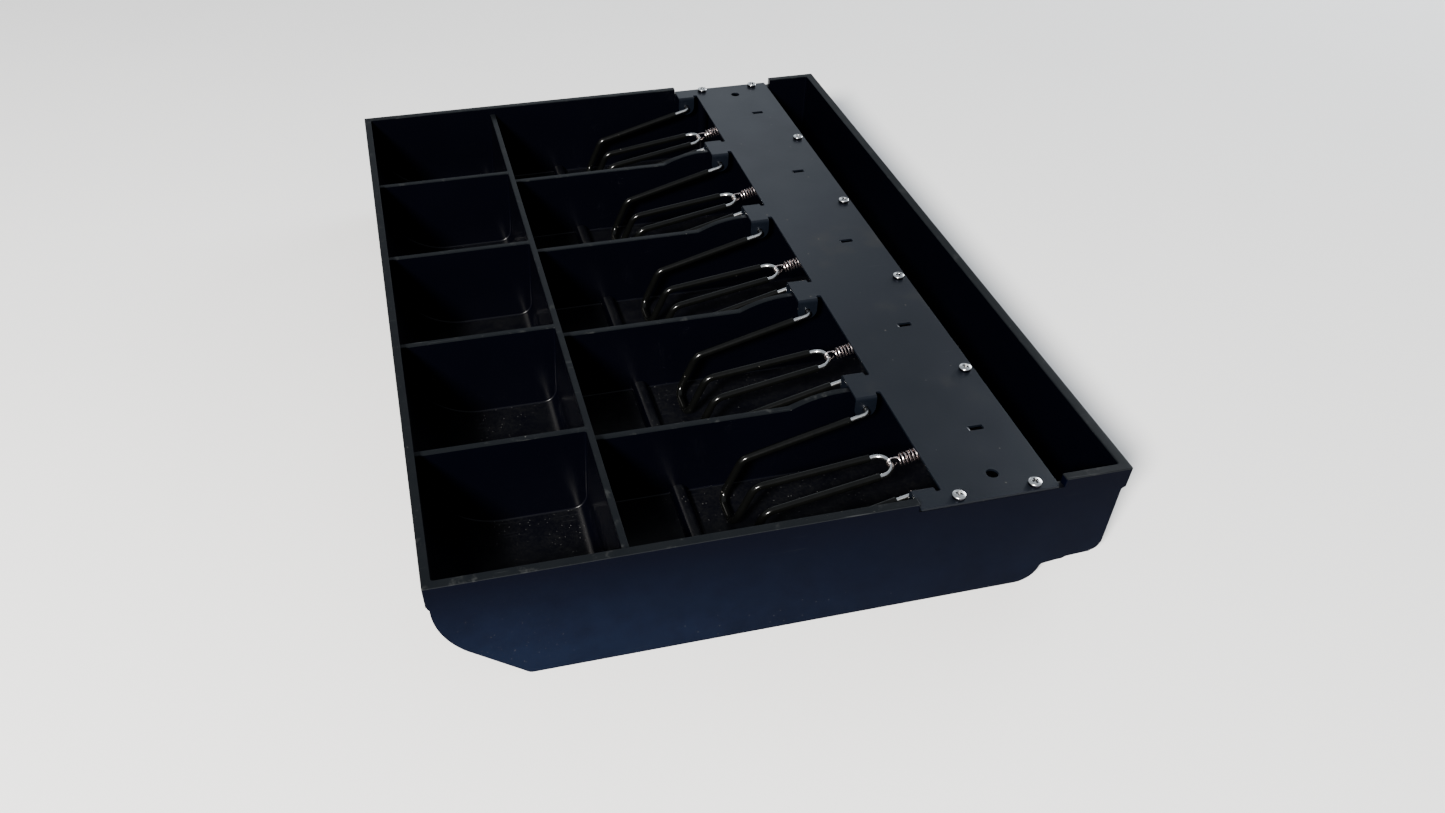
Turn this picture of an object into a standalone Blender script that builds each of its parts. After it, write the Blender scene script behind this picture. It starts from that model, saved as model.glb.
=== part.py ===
"""Till tray of a cash drawer: a moulded tray with five coin wells, five note bays and a back channel.

A sheet-steel plate is screwed over the note bays. Each bay has a bent-wire note clip that swings in
the plate's ears, with two plastic sleeves on its arms and an over-centre tension spring.

Frame: +X along the tray's length, +Y from the coin wells to the back channel, +Z up.
The origin is under the middle of the tray, at the level it stands on. Blender's unit is the metre.
"""

import math

import bmesh
import bpy
from mathutils import Vector

MM = 0.001
GAP = 0.3  # clearance between pieces that touch on the real tray, mm

# Driving dimensions, in mm.
LENGTH = 375.0  # along X, over the rim
DEPTH = 270.6  # along Y, over the rim
HEIGHT = 56.0  # from the runners' feet to the rim
BAYS = 5
PITCH = 74.03  # from one well or bay to the next

# Walls of the moulding.
RIM_END = 3.7  # width of the rim over the end walls
RIM_FRONT = 3.6
RIM_BACK = 4.3
SKIRT_DEPTH = 10.0
SKIRT_TAPER = 0.4
WALL_FRONT_OUTER = -133.7
WALL_BACK_OUTER = 132.3
END_DRAFT = math.tan(math.radians(2.0))
WALL_DRAFT = math.tan(math.radians(1.2))
DIVIDER = 2.8  # thickness of every divider at its top

# Levels.
FLOOR = 11.5
FLOOR_UNDERSIDE = 9.5
CHANNEL_STEP = 1.9
COIN_TOP = 52.2  # top of the coin dividers and of the long divider
NOTE_TOP = 46.6  # top of the note dividers in front of the plate
SHELF = 51.9  # top of what the plate rests on

# Coin wells.
SCOOP_RADIUS = 33.0
SHELL = 2.0  # thickness behind the scoop
SCOOP_Y = -98.7  # where the scoop runs into the floor
SCOOP_SLANT = math.radians(52.0)  # how far round the scoop the runner's straight front edge starts
COIN_BACK_FILLET = 7.0
LONG_DIVIDER_FRONT = -63.4
LONG_DIVIDER_BACK = -60.6

# Note bays and back channel.
BEAD_Y = -25.0
BEAD_RADIUS = 4.0
HUMP_START = 23.0
HUMP_END = 46.0
BAY_BACK = 102.3
CHANNEL_FRONT = 104.7
CHANNEL_STEP_Y = 117.0
CHANNEL_BACK_FILLET = 4.5

# Runners: the end walls below the floor.
RUNNER = 3.2
RUNNER_TOE_RADIUS = 3.0
RUNNER_HEEL_RADIUS = 9.5
RUNNER_HEEL_Y = 107.0

# Retainer plate.
SHEET = 1.0
PLATE_BOTTOM = SHELF + GAP
PLATE_TOP = PLATE_BOTTOM + SHEET
PLATE_FRONT = 48.7
PLATE_BACK = 105.0
RECESS_FRONT = 48.0
RECESS_BACK = 107.3
NOTCH_BACK = 60.2
NOTCH_HALF = 28.03  # half the width of each cut-out, to the ears' faces
RELIEF = 2.2
EAR_LENGTH = 9.3  # along Y
EAR_HOLE_RADIUS = 1.35
SLOT_FRONT = 85.4
SLOT_BACK = 91.9
SLOT_HALF = 1.35
TAB_LENGTH = 5.5
TAB_HALF = 1.1
TAB_LEAN = math.radians(20.0)
FIXING_HOLE_X = 174.9
FIXING_HOLE_Y = 83.1
FIXING_HOLE_RADIUS = 2.45

# Screws.
SCREW_END_X = 184.2
SCREW_END_Y = (65.0, 96.1)
SCREW_BACK_Y = 101.0
HEAD_RADIUS = 2.8
HEAD_HEIGHT = 2.0
SHANK_RADIUS = 1.3
SHANK_LENGTH = 10.0
PLATE_HOLE_RADIUS = 1.7
PILOT_RADIUS = 1.6
PILOT_DEPTH = 13.0
BOSS_RADIUS = 3.4
END_BOSS_X = 182.6
END_BOSS_RADIUS = 3.2

# Note clip, as (Y, Z) of its bends. Its half has the two arms at OUTER_ARM and INNER_ARM from the bay's middle.
PIVOT = (PLATE_FRONT + EAR_LENGTH / 2, 47.4)
ARM_BEND = (-0.4, 32.9)
FOOT = (-8.9, 13.4)
APEX = (53.75, 41.5)
PIVOT_TIP = 30.5
OUTER_ARM = 25.0
INNER_ARM = 7.5
APEX_HALF = 5.6
WIRE_RADIUS = 1.0
SLEEVE_INNER = 1.35
SLEEVE_OUTER = 1.65
SLEEVE_FROM_Y = 45.7  # its end on the outer arm
SLEEVE_TO_Y = 47.1  # its end on the inner arm
PIVOT_BEND_RADIUS = 2.0
ARM_BEND_RADIUS = 3.0
FOOT_RADIUS = 5.0
APEX_RADIUS = 5.4
BEND_STEPS = 3
WIRE_SIDES = 6

# Spring, along the line from the clip's apex to the plate's tab.
ANCHOR = (87.0, 50.2)
SPRING_WIRE = 0.4
COIL_RADIUS = 2.75
COIL_FROM = 3.6  # distance from the apex
COIL_TO = 19.5
LOOP_RADIUS = 2.2
LOOP_SHIFT = 0.5  # the loops' centres lie this far inside the two ends
LOOP_GAP = math.radians(35.0)
LOOP_STEPS = 10
COIL_SIDES = 10

ROUND_SIDES = 12
RIM_X = LENGTH / 2
FRONT = -DEPTH / 2
BACK = DEPTH / 2
ABOVE = HEIGHT + 4.0  # the cutters reach above the rim


def clear_scene():
    for obj in list(bpy.data.objects):
        bpy.data.objects.remove(obj, do_unlink=True)


def material(name, colour, roughness, metallic=0.0):
    mat = bpy.data.materials.new(name)
    mat.use_nodes = True
    shader = mat.node_tree.nodes["Principled BSDF"]
    shader.inputs["Base Color"].default_value = (*colour, 1.0)
    shader.inputs["Roughness"].default_value = roughness
    shader.inputs["Metallic"].default_value = metallic
    mat.diffuse_color = (*colour, 1.0)
    return mat


def add_object(name, bm, mat=None, origin=(0.0, 0.0, 0.0), smooth=False):
    """Link the bmesh, made in mm about the tray's origin, as an object in metres whose origin is at origin (mm)."""
    bmesh.ops.recalc_face_normals(bm, faces=bm.faces)
    bmesh.ops.translate(bm, verts=bm.verts, vec=-Vector(origin))
    bmesh.ops.scale(bm, verts=bm.verts, vec=(MM, MM, MM))
    mesh = bpy.data.meshes.new(name)
    bm.to_mesh(mesh)
    bm.free()
    if smooth:
        mesh.shade_smooth()
        mesh.set_sharp_from_angle(angle=math.radians(40.0))
    if mat:
        mesh.materials.append(mat)
    obj = bpy.data.objects.new(name, mesh)
    obj.location = Vector(origin) * MM
    bpy.context.collection.objects.link(obj)
    return obj


def add_helper(name, bm):
    """A cutter or an added body for a Boolean, kept out of the model itself."""
    helper = add_object(name, bm)
    helper.hide_render = True
    helper.display_type = "WIRE"
    return helper


def boolean(obj, helper, operation):
    modifier = obj.modifiers.new(helper.name, "BOOLEAN")
    modifier.operation = operation
    modifier.solver = "EXACT"
    modifier.object = helper


def arc(centre, radius, start, end, steps):
    """Points round a centre in the Y-Z plane. The angle runs from +Y towards +Z."""
    angles = [start + (end - start) * i / steps for i in range(steps + 1)]
    return [(centre[0] + radius * math.cos(a), centre[1] + radius * math.sin(a)) for a in angles]


def add_prism_x(bm, outline, x_low, x_high):
    """A closed body between two sides, whose X at each height is given by x_low(z) and x_high(z)."""
    low = [bm.verts.new((x_low(z), y, z)) for y, z in outline]
    high = [bm.verts.new((x_high(z), y, z)) for y, z in outline]
    bm.faces.new(low)
    bm.faces.new(reversed(high))
    for i in range(len(outline)):
        j = (i + 1) % len(outline)
        bm.faces.new((low[j], low[i], high[i], high[j]))


def add_prism_z(bm, outline, bottom, top):
    """A closed body with a flat outline in X and Y."""
    low = [bm.verts.new((x, y, bottom)) for x, y in outline]
    high = [bm.verts.new((x, y, top)) for x, y in outline]
    bm.faces.new(reversed(low))
    bm.faces.new(high)
    for i in range(len(outline)):
        j = (i + 1) % len(outline)
        bm.faces.new((low[i], low[j], high[j], high[i]))


def circle(x, y, radius, sides=ROUND_SIDES):
    turns = [2 * math.pi * (i + 0.5) / sides for i in range(sides)]
    return [(x + radius * math.cos(a), y + radius * math.sin(a)) for a in turns]


def rectangle(x0, x1, y0, y1):
    return [(x0, y0), (x1, y0), (x1, y1), (x0, y1)]


def rounded_path(corners, steps=BEND_STEPS):
    """Points along a bent wire. Each corner is (point, bend radius), and the ends have radius 0."""
    points = []
    for i, (corner, radius) in enumerate(corners):
        if radius == 0.0:
            points.append(corner)
            continue
        back = (corners[i - 1][0] - corner).normalized()
        ahead = (corners[i + 1][0] - corner).normalized()
        half = back.angle(ahead) / 2
        centre = corner + (back + ahead).normalized() * (radius / math.sin(half))
        start = corner + back * (radius / math.tan(half)) - centre
        axis = back.cross(start).normalized()
        turn = math.pi - 2 * half
        across = axis.cross(start)
        for step in range(steps + 1):
            angle = turn * step / steps
            points.append(centre + start * math.cos(angle) + across * math.sin(angle))
    return points


def frames_along(path, normal):
    """For each point of the path, two directions square to it that turn with it and never twist."""
    frames = []
    for i, point in enumerate(path):
        before = (point - path[i - 1]).normalized() if i else Vector()
        after = (path[i + 1] - point).normalized() if i + 1 < len(path) else Vector()
        tangent = (before + after).normalized()
        normal = (normal - tangent * normal.dot(tangent)).normalized()
        frames.append((normal, tangent.cross(normal)))
    return frames


def add_ring(bm, centre, frame, radius, sides):
    side, up = frame
    turns = [2 * math.pi * i / sides for i in range(sides)]
    return [bm.verts.new(centre + (side * math.cos(a) + up * math.sin(a)) * radius) for a in turns]


def bridge(bm, first, second):
    for i in range(len(first)):
        j = (i + 1) % len(first)
        bm.faces.new((first[i], first[j], second[j], second[i]))


def add_tube(bm, path, radii, sides, normal=Vector((1.0, 0.0, 0.0)), bore=0.0):
    """A round bar along the path with a radius at each point, or a hollow tube if it has a bore radius."""
    frames = frames_along(path, normal)
    outer = [add_ring(bm, p, f, r, sides) for p, f, r in zip(path, frames, radii)]
    for first, second in zip(outer, outer[1:]):
        bridge(bm, first, second)
    if not bore:
        bm.faces.new(outer[0])
        bm.faces.new(outer[-1])
        return
    inner = [add_ring(bm, p, f, bore, sides) for p, f in zip(path, frames)]
    for first, second in zip(inner, inner[1:]):
        bridge(bm, second, first)
    bridge(bm, outer[0], inner[0])
    bridge(bm, inner[-1], outer[-1])


def bay_centre(bay):
    return (bay - (BAYS - 1) / 2) * PITCH


def divider_x(divider):
    return (divider - (BAYS - 2) / 2) * PITCH


def end_outer(z):
    """Half the tray's length over the end walls, at a height."""
    return RIM_X - (HEIGHT - z) * END_DRAFT


def end_inner(z):
    return RIM_X - RIM_END - (HEIGHT - z) * END_DRAFT


def divider_half(z):
    return DIVIDER / 2 + (COIN_TOP - z) * WALL_DRAFT


def long_divider_front(z):
    return LONG_DIVIDER_FRONT - (COIN_TOP - z) * WALL_DRAFT


def long_divider_back(z):
    return LONG_DIVIDER_BACK + (COIN_TOP - z) * WALL_DRAFT


def bay_back(z):
    return BAY_BACK - (SHELF - z) * WALL_DRAFT


def channel_front(z):
    return CHANNEL_FRONT + (SHELF - z) * WALL_DRAFT


def channel_back(z):
    return BACK - RIM_BACK - (HEIGHT - z) * WALL_DRAFT


def tray_outline():
    """The outline of the end walls, which is also the outside of the shell."""
    scoop_centre = (SCOOP_Y, FLOOR + SCOOP_RADIUS)
    scoop = arc(scoop_centre, SCOOP_RADIUS + SHELL, math.pi, math.pi + SCOOP_SLANT, 7)
    slant_run = (scoop[-1][1] - RUNNER_TOE_RADIUS) * math.tan(SCOOP_SLANT)
    toe_centre = (scoop[-1][0] + slant_run + RUNNER_TOE_RADIUS, RUNNER_TOE_RADIUS)
    toe = arc(toe_centre, RUNNER_TOE_RADIUS, math.pi + SCOOP_SLANT, math.pi * 1.5, 3)
    heel_centre = (RUNNER_HEEL_Y - RUNNER_HEEL_RADIUS, RUNNER_HEEL_RADIUS)
    heel = arc(heel_centre, RUNNER_HEEL_RADIUS, -math.pi / 2, 0.0, 5)
    step = FLOOR_UNDERSIDE + CHANNEL_STEP
    corner_centre = (WALL_BACK_OUTER - CHANNEL_BACK_FILLET, step + CHANNEL_BACK_FILLET)
    corner = arc(corner_centre, CHANNEL_BACK_FILLET, -math.pi / 2, 0.0, 3)
    skirt = HEIGHT - SKIRT_DEPTH
    front_rim = [(FRONT, HEIGHT), (FRONT + SKIRT_TAPER, skirt), (WALL_FRONT_OUTER, skirt)]
    back_rim = [(WALL_BACK_OUTER, skirt), (BACK - SKIRT_TAPER, skirt), (BACK, HEIGHT)]
    channel_floor = [(CHANNEL_STEP_Y - 0.5, FLOOR_UNDERSIDE), (CHANNEL_STEP_Y + 0.5, step)]
    return front_rim + scoop + toe + heel + channel_floor + corner + back_rim


def cavity_outline():
    """The inside of the tray without its cross dividers, from the front rim to the back rim."""
    scoop = arc((SCOOP_Y, FLOOR + SCOOP_RADIUS), SCOOP_RADIUS, math.pi, math.pi * 1.5, 10)
    fillet_y = long_divider_front(FLOOR + COIN_BACK_FILLET) - COIN_BACK_FILLET
    fillet = arc((fillet_y, FLOOR + COIN_BACK_FILLET), COIN_BACK_FILLET, -math.pi / 2, 0.0, 4)
    coin_wells = [(SCOOP_Y - SCOOP_RADIUS, ABOVE)] + scoop + fillet
    long_divider = [(side(COIN_TOP), COIN_TOP) for side in (long_divider_front, long_divider_back)]
    bead = arc((BEAD_Y, FLOOR), BEAD_RADIUS, math.pi, 0.0, 6)
    note_bays = [(long_divider_back(FLOOR), FLOOR)] + bead + [(bay_back(FLOOR), FLOOR)]
    bay_wall = [(side(SHELF), SHELF) for side in (bay_back, channel_front)]
    step = FLOOR + CHANNEL_STEP
    floor = [(channel_front(FLOOR), FLOOR), (CHANNEL_STEP_Y - 1.0, FLOOR), (CHANNEL_STEP_Y + 1.0, step)]
    radius = CHANNEL_BACK_FILLET - SHELL
    corner_y = channel_back(step + radius) - radius
    corner = arc((corner_y, step + radius), radius, -math.pi / 2, 0.0, 3)
    channel = floor + corner + [(channel_back(ABOVE), ABOVE)]
    return coin_wells + long_divider + note_bays + bay_wall + channel


def coin_divider_outline():
    """A divider between coin wells, with its other three edges buried in the shell."""
    buried = SHELL / 2
    scoop = arc((SCOOP_Y, FLOOR + SCOOP_RADIUS), SCOOP_RADIUS + buried, math.pi, math.pi * 1.5, 10)
    back = (LONG_DIVIDER_FRONT + LONG_DIVIDER_BACK) / 2
    return [(scoop[0][0], COIN_TOP)] + scoop + [(back, FLOOR - buried), (back, COIN_TOP)]


def note_divider_outline():
    """A divider between note bays. Its top rises to the plate in a convex curve."""
    rise = SHELF - NOTE_TOP
    run = HUMP_END - HUMP_START
    radius = (run**2 + rise**2) / (2 * rise)
    start = math.acos(-run / radius)
    hump = arc((HUMP_END, SHELF - radius), radius, start, math.pi / 2, 6)
    front = (LONG_DIVIDER_FRONT + LONG_DIVIDER_BACK) / 2
    back = (BAY_BACK + CHANNEL_FRONT) / 2
    bottom = FLOOR - SHELL / 2
    return [(back, SHELF), (back, bottom), (front, bottom), (front, NOTE_TOP)] + hump


def underside_outline():
    """The space under the floor, between the runners. It follows the scoop."""
    centre = (SCOOP_Y, FLOOR + SCOOP_RADIUS)
    scoop = arc(centre, SCOOP_RADIUS + SHELL, math.pi + SCOOP_SLANT, math.pi * 1.5, 4)
    start_y, start_z = scoop[0]
    below = -5.0
    past_heel = RUNNER_HEEL_Y + 3.0
    front = [(start_y - 5.0, below), (start_y - 5.0, start_z - 5.0)]
    return front + scoop + [(past_heel, FLOOR_UNDERSIDE), (past_heel, below)]


def screw_places():
    """Name, X and Y of each screw in the plate."""
    places = []
    for side, x in (("left", -SCREW_END_X), ("right", SCREW_END_X)):
        for end, y in zip(("front", "back"), SCREW_END_Y):
            places.append((f"plate_screw_{side}_{end}", x, y))
    for divider in range(BAYS - 1):
        places.append((f"plate_screw_divider_{divider + 1}", divider_x(divider), SCREW_BACK_Y))
    return places


def build_tray(mat):
    bm = bmesh.new()
    add_prism_x(bm, tray_outline(), lambda z: -end_outer(z), end_outer)
    tray = add_object("tray", bm, mat)

    bm = bmesh.new()
    for side in (-1, 1):
        inner, outer = sorted((side * (END_BOSS_X - END_BOSS_RADIUS), side * (RIM_X + 2.0)))
        add_prism_z(bm, rectangle(inner, outer, RECESS_FRONT, RECESS_BACK), SHELF, ABOVE)
    boolean(tray, add_helper("cut_plate_recess", bm), "DIFFERENCE")

    bm = bmesh.new()
    add_prism_x(bm, cavity_outline(), lambda z: -end_inner(z), end_inner)
    boolean(tray, add_helper("cut_cavity", bm), "DIFFERENCE")

    bm = bmesh.new()
    runner_inner = end_outer(0.0) - RUNNER
    add_prism_x(bm, underside_outline(), lambda z: -runner_inner, lambda z: runner_inner)
    boolean(tray, add_helper("cut_underside", bm), "DIFFERENCE")

    for name, outline in (("coin", coin_divider_outline()), ("note", note_divider_outline())):
        bm = bmesh.new()
        for divider in range(BAYS - 1):
            x = divider_x(divider)
            add_prism_x(bm, outline, lambda z: x - divider_half(z), lambda z: x + divider_half(z))
        boolean(tray, add_helper(f"add_{name}_dividers", bm), "UNION")

    bosses = bmesh.new()
    pilots = bmesh.new()
    for name, x, y in screw_places():
        on_end = abs(x) == SCREW_END_X
        boss_x = math.copysign(END_BOSS_X, x) if on_end else x
        boss_radius = END_BOSS_RADIUS if on_end else BOSS_RADIUS
        add_prism_z(bosses, circle(boss_x, y, boss_radius), FLOOR - 1.0, SHELF)
        add_prism_z(pilots, circle(x, y, PILOT_RADIUS), SHELF - PILOT_DEPTH, ABOVE)
    boolean(tray, add_helper("add_bosses", bosses), "UNION")
    boolean(tray, add_helper("cut_pilot_holes", pilots), "DIFFERENCE")
    return tray


def plate_outline():
    """The flat outline of the plate: six fingers in front, with relief notches at their roots."""
    end_x = RIM_X - 0.1
    relief_front = PLATE_FRONT + EAR_LENGTH
    points = [(-end_x, PLATE_BACK), (-end_x, PLATE_FRONT)]
    for bay in range(BAYS):
        left = bay_centre(bay) - NOTCH_HALF
        right = bay_centre(bay) + NOTCH_HALF
        points += [(left, PLATE_FRONT), (left, relief_front), (left - RELIEF, relief_front)]
        points += [(left - RELIEF, NOTCH_BACK), (right + RELIEF, NOTCH_BACK)]
        points += [(right + RELIEF, relief_front), (right, relief_front), (right, PLATE_FRONT)]
    return points + [(end_x, PLATE_FRONT), (end_x, PLATE_BACK)]


def ear_outline():
    """An ear, rounded about its pivot hole, as Y and Z. Its top is buried in the plate."""
    round_end = arc(PIVOT, EAR_LENGTH / 2, math.pi, 2 * math.pi, 8)
    top = PLATE_BOTTOM + SHEET / 2
    return [(PLATE_FRONT, top)] + round_end + [(PLATE_FRONT + EAR_LENGTH, top)]


def tab_outline():
    """The tab that holds a spring, bent down from the front end of its slot, as Y and Z."""
    down = Vector((math.sin(TAB_LEAN), -math.cos(TAB_LEAN)))
    across = Vector((math.cos(TAB_LEAN), math.sin(TAB_LEAN))) * SHEET / 2
    root = Vector((SLOT_FRONT + 0.1, PLATE_BOTTOM + SHEET / 2))
    corners = (root - across, root + across, root + down * TAB_LENGTH + across, root + down * TAB_LENGTH - across)
    return [tuple(corner) for corner in corners]


def build_plate(mat):
    bm = bmesh.new()
    add_prism_z(bm, plate_outline(), PLATE_BOTTOM, PLATE_TOP)
    plate = add_object("retainer_plate", bm, mat)

    cuts = bmesh.new()
    below = PLATE_BOTTOM - 1.0
    above = PLATE_TOP + 1.0
    for bay in range(BAYS):
        x = bay_centre(bay)
        add_prism_z(cuts, rectangle(x - SLOT_HALF, x + SLOT_HALF, SLOT_FRONT, SLOT_BACK), below, above)
    for side in (-1, 1):
        hole = circle(side * FIXING_HOLE_X, FIXING_HOLE_Y, FIXING_HOLE_RADIUS)
        add_prism_z(cuts, hole, below, above)
    for name, x, y in screw_places():
        add_prism_z(cuts, circle(x, y, PLATE_HOLE_RADIUS), below, above)
    boolean(plate, add_helper("cut_plate_holes", cuts), "DIFFERENCE")

    ears = bmesh.new()
    holes = bmesh.new()
    tabs = bmesh.new()
    for bay in range(BAYS):
        x = bay_centre(bay)
        for side in (-1, 1):
            face = x + side * NOTCH_HALF
            back = face + side * SHEET
            inner, outer = sorted((face, back))
            add_prism_x(ears, ear_outline(), lambda z: inner, lambda z: outer)
            hole = [(y, z) for y, z in circle(*PIVOT, EAR_HOLE_RADIUS)]
            add_prism_x(holes, hole, lambda z: inner - 1.0, lambda z: outer + 1.0)
        add_prism_x(tabs, tab_outline(), lambda z: x - TAB_HALF, lambda z: x + TAB_HALF)
    boolean(plate, add_helper("add_ears", ears), "UNION")
    boolean(plate, add_helper("cut_pivot_holes", holes), "DIFFERENCE")
    boolean(plate, add_helper("add_spring_tabs", tabs), "UNION")
    return plate


def screw_profile():
    """Radius and height of the pan-head screw, from the top of its head to its tip, about its seat."""
    edge = HEAD_HEIGHT * 0.45
    head = [(HEAD_RADIUS * 0.55, HEAD_HEIGHT), (HEAD_RADIUS * 0.9, HEAD_HEIGHT * 0.8), (HEAD_RADIUS, edge)]
    shank = [(SHANK_RADIUS, 0.0), (SHANK_RADIUS, -SHANK_LENGTH + 2.0), (0.5, -SHANK_LENGTH)]
    return head + [(HEAD_RADIUS, 0.0)] + shank


def build_screw(name, x, y, mat):
    bm = bmesh.new()
    seat = PLATE_TOP + GAP
    rings = []
    for radius, height in screw_profile():
        rings.append([bm.verts.new((px, py, seat + height)) for px, py in circle(x, y, radius)])
    for first, second in zip(rings, rings[1:]):
        bridge(bm, second, first)
    bm.faces.new(rings[0])
    bm.faces.new(reversed(rings[-1]))
    return add_object(name, bm, mat, (x, y, seat), smooth=True)


def clip_point(x, yz):
    return Vector((x, *yz))


def clip_corners(bay, side):
    """One half of the wire, from its pivot tip to its apex. side is -1 on the left and 1 on the right."""
    x = bay_centre(bay)
    return [
        (clip_point(x + side * PIVOT_TIP, PIVOT), 0.0),
        (clip_point(x + side * OUTER_ARM, PIVOT), PIVOT_BEND_RADIUS),
        (clip_point(x + side * OUTER_ARM, ARM_BEND), ARM_BEND_RADIUS),
        (clip_point(x + side * OUTER_ARM, FOOT), FOOT_RADIUS),
        (clip_point(x + side * INNER_ARM, FOOT), FOOT_RADIUS),
        (clip_point(x + side * INNER_ARM, ARM_BEND), ARM_BEND_RADIUS),
        (clip_point(x + side * APEX_HALF, APEX), APEX_RADIUS),
    ]


def build_clip_wire(bay, mat):
    corners = clip_corners(bay, -1) + list(reversed(clip_corners(bay, 1)))
    path = rounded_path(corners)
    bm = bmesh.new()
    add_tube(bm, path, [WIRE_RADIUS] * len(path), WIRE_SIDES, normal=Vector((0.0, 0.0, 1.0)))
    origin = clip_point(bay_centre(bay), PIVOT)
    return add_object(f"clip_wire_{bay + 1}", bm, mat, origin, smooth=True)


def build_sleeve(bay, side, mat):
    """A sleeve covers the outer arm, the foot and the inner arm in one run."""
    corners = clip_corners(bay, side)
    outer_arm = corners[2][0] - corners[1][0]
    start = corners[1][0] + outer_arm * ((SLEEVE_FROM_Y - PIVOT[0]) / outer_arm.y)
    inner_arm = corners[6][0] - corners[5][0]
    end = corners[5][0] + inner_arm * ((SLEEVE_TO_Y - ARM_BEND[0]) / inner_arm.y)
    path = rounded_path([(start, 0.0)] + corners[2:6] + [(end, 0.0)])
    bm = bmesh.new()
    add_tube(bm, path, [SLEEVE_OUTER] * len(path), WIRE_SIDES, bore=SLEEVE_INNER)
    word = "left" if side < 0 else "right"
    origin = clip_point(bay_centre(bay), PIVOT)
    return add_object(f"clip_sleeve_{bay + 1}_{word}", bm, mat, origin, smooth=True)


def spring_line(bay):
    """The spring's start at the apex and its direction towards the anchor tab."""
    start = clip_point(bay_centre(bay), APEX)
    end = clip_point(bay_centre(bay), ANCHOR)
    return start, (end - start).normalized(), (end - start).length


def loop_path(centre, first, second, radius):
    """A loop that starts near the first direction and goes almost all the way round."""
    angles = [LOOP_GAP + (2 * math.pi - LOOP_GAP) * i / LOOP_STEPS for i in range(LOOP_STEPS + 1)]
    return [centre + (first * math.cos(a) + second * math.sin(a)) * radius for a in reversed(angles)]


def build_spring(bay, mat):
    """The coil as one round body, with the straight shank and the flat loop round the plate's tab."""
    start, along, length = spring_line(bay)
    across = Vector((1.0, 0.0, 0.0))
    centre = start + along * (length - LOOP_SHIFT)
    loop = loop_path(centre, -along, across, LOOP_RADIUS)
    coil = [start + along * COIL_FROM, start + along * COIL_TO]
    path = [coil[0], coil[1], coil[1] + along * 0.01] + loop
    radii = [COIL_RADIUS, COIL_RADIUS] + [SPRING_WIRE] * (len(loop) + 1)
    bm = bmesh.new()
    add_tube(bm, path, radii, COIL_SIDES)
    origin = clip_point(bay_centre(bay), ANCHOR)
    return add_object(f"spring_{bay + 1}", bm, mat, origin, smooth=True)


def build_spring_hook(bay, mat):
    """The spring's front loop, which catches the clip's bare apex and moves as the coil stretches."""
    start, along, length = spring_line(bay)
    up = Vector((1.0, 0.0, 0.0)).cross(along)
    loop = loop_path(start + along * LOOP_SHIFT, along, up, LOOP_RADIUS)
    bm = bmesh.new()
    add_tube(bm, loop, [SPRING_WIRE] * len(loop), WIRE_SIDES)
    origin = clip_point(bay_centre(bay), APEX)
    return add_object(f"spring_hook_{bay + 1}", bm, mat, origin, smooth=True)


def main():
    clear_scene()
    moulding = material("black moulding", (0.012, 0.014, 0.018), 0.35)
    powder_coat = material("powder coated steel", (0.05, 0.058, 0.066), 0.5)
    zinc = material("zinc plate", (0.72, 0.73, 0.72), 0.25, metallic=1.0)
    spring_wire = material("spring wire", (0.62, 0.56, 0.53), 0.3, metallic=1.0)
    sleeve = material("black sleeve", (0.02, 0.021, 0.023), 0.45)
    build_tray(moulding)
    build_plate(powder_coat)
    for name, x, y in screw_places():
        build_screw(name, x, y, zinc)
    for bay in range(BAYS):
        build_clip_wire(bay, zinc)
        build_sleeve(bay, -1, sleeve)
        build_sleeve(bay, 1, sleeve)
        build_spring(bay, spring_wire)
        build_spring_hook(bay, spring_wire)


main()
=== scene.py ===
"""The looks of the till tray: its detailed pieces, their materials, the light and the camera.

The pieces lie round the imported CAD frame. Lengths are in mm in the mesh code, about the tray's
origin, and each mesh is scaled to metres at the end.
"""

import math
import random

import bmesh
import bpy
from mathutils import Matrix, Vector


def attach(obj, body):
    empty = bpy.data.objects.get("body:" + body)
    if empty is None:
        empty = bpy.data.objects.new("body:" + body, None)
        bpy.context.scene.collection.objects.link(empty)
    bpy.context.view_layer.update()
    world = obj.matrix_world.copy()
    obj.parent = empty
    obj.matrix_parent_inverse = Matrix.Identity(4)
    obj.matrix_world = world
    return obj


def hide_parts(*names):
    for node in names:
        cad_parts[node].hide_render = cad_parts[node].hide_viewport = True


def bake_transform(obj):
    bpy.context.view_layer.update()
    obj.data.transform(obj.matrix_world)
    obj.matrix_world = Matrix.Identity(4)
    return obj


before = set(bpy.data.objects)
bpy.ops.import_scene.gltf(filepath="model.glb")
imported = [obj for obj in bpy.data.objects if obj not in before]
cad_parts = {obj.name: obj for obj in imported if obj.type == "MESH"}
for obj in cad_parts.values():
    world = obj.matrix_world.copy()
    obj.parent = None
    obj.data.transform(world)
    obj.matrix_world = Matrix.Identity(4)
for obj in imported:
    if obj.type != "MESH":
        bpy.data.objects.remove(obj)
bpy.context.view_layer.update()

MM = 0.001
BAYS = 5
PITCH = 74.03
BODY = "tray_body"
SIDES = ((-1, "left"), (1, "right"))
NEAR = 0.1  # a point this near to a face counts as on it
SHADE_SMOOTH_BELOW = 35.0  # degrees between faces

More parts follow.
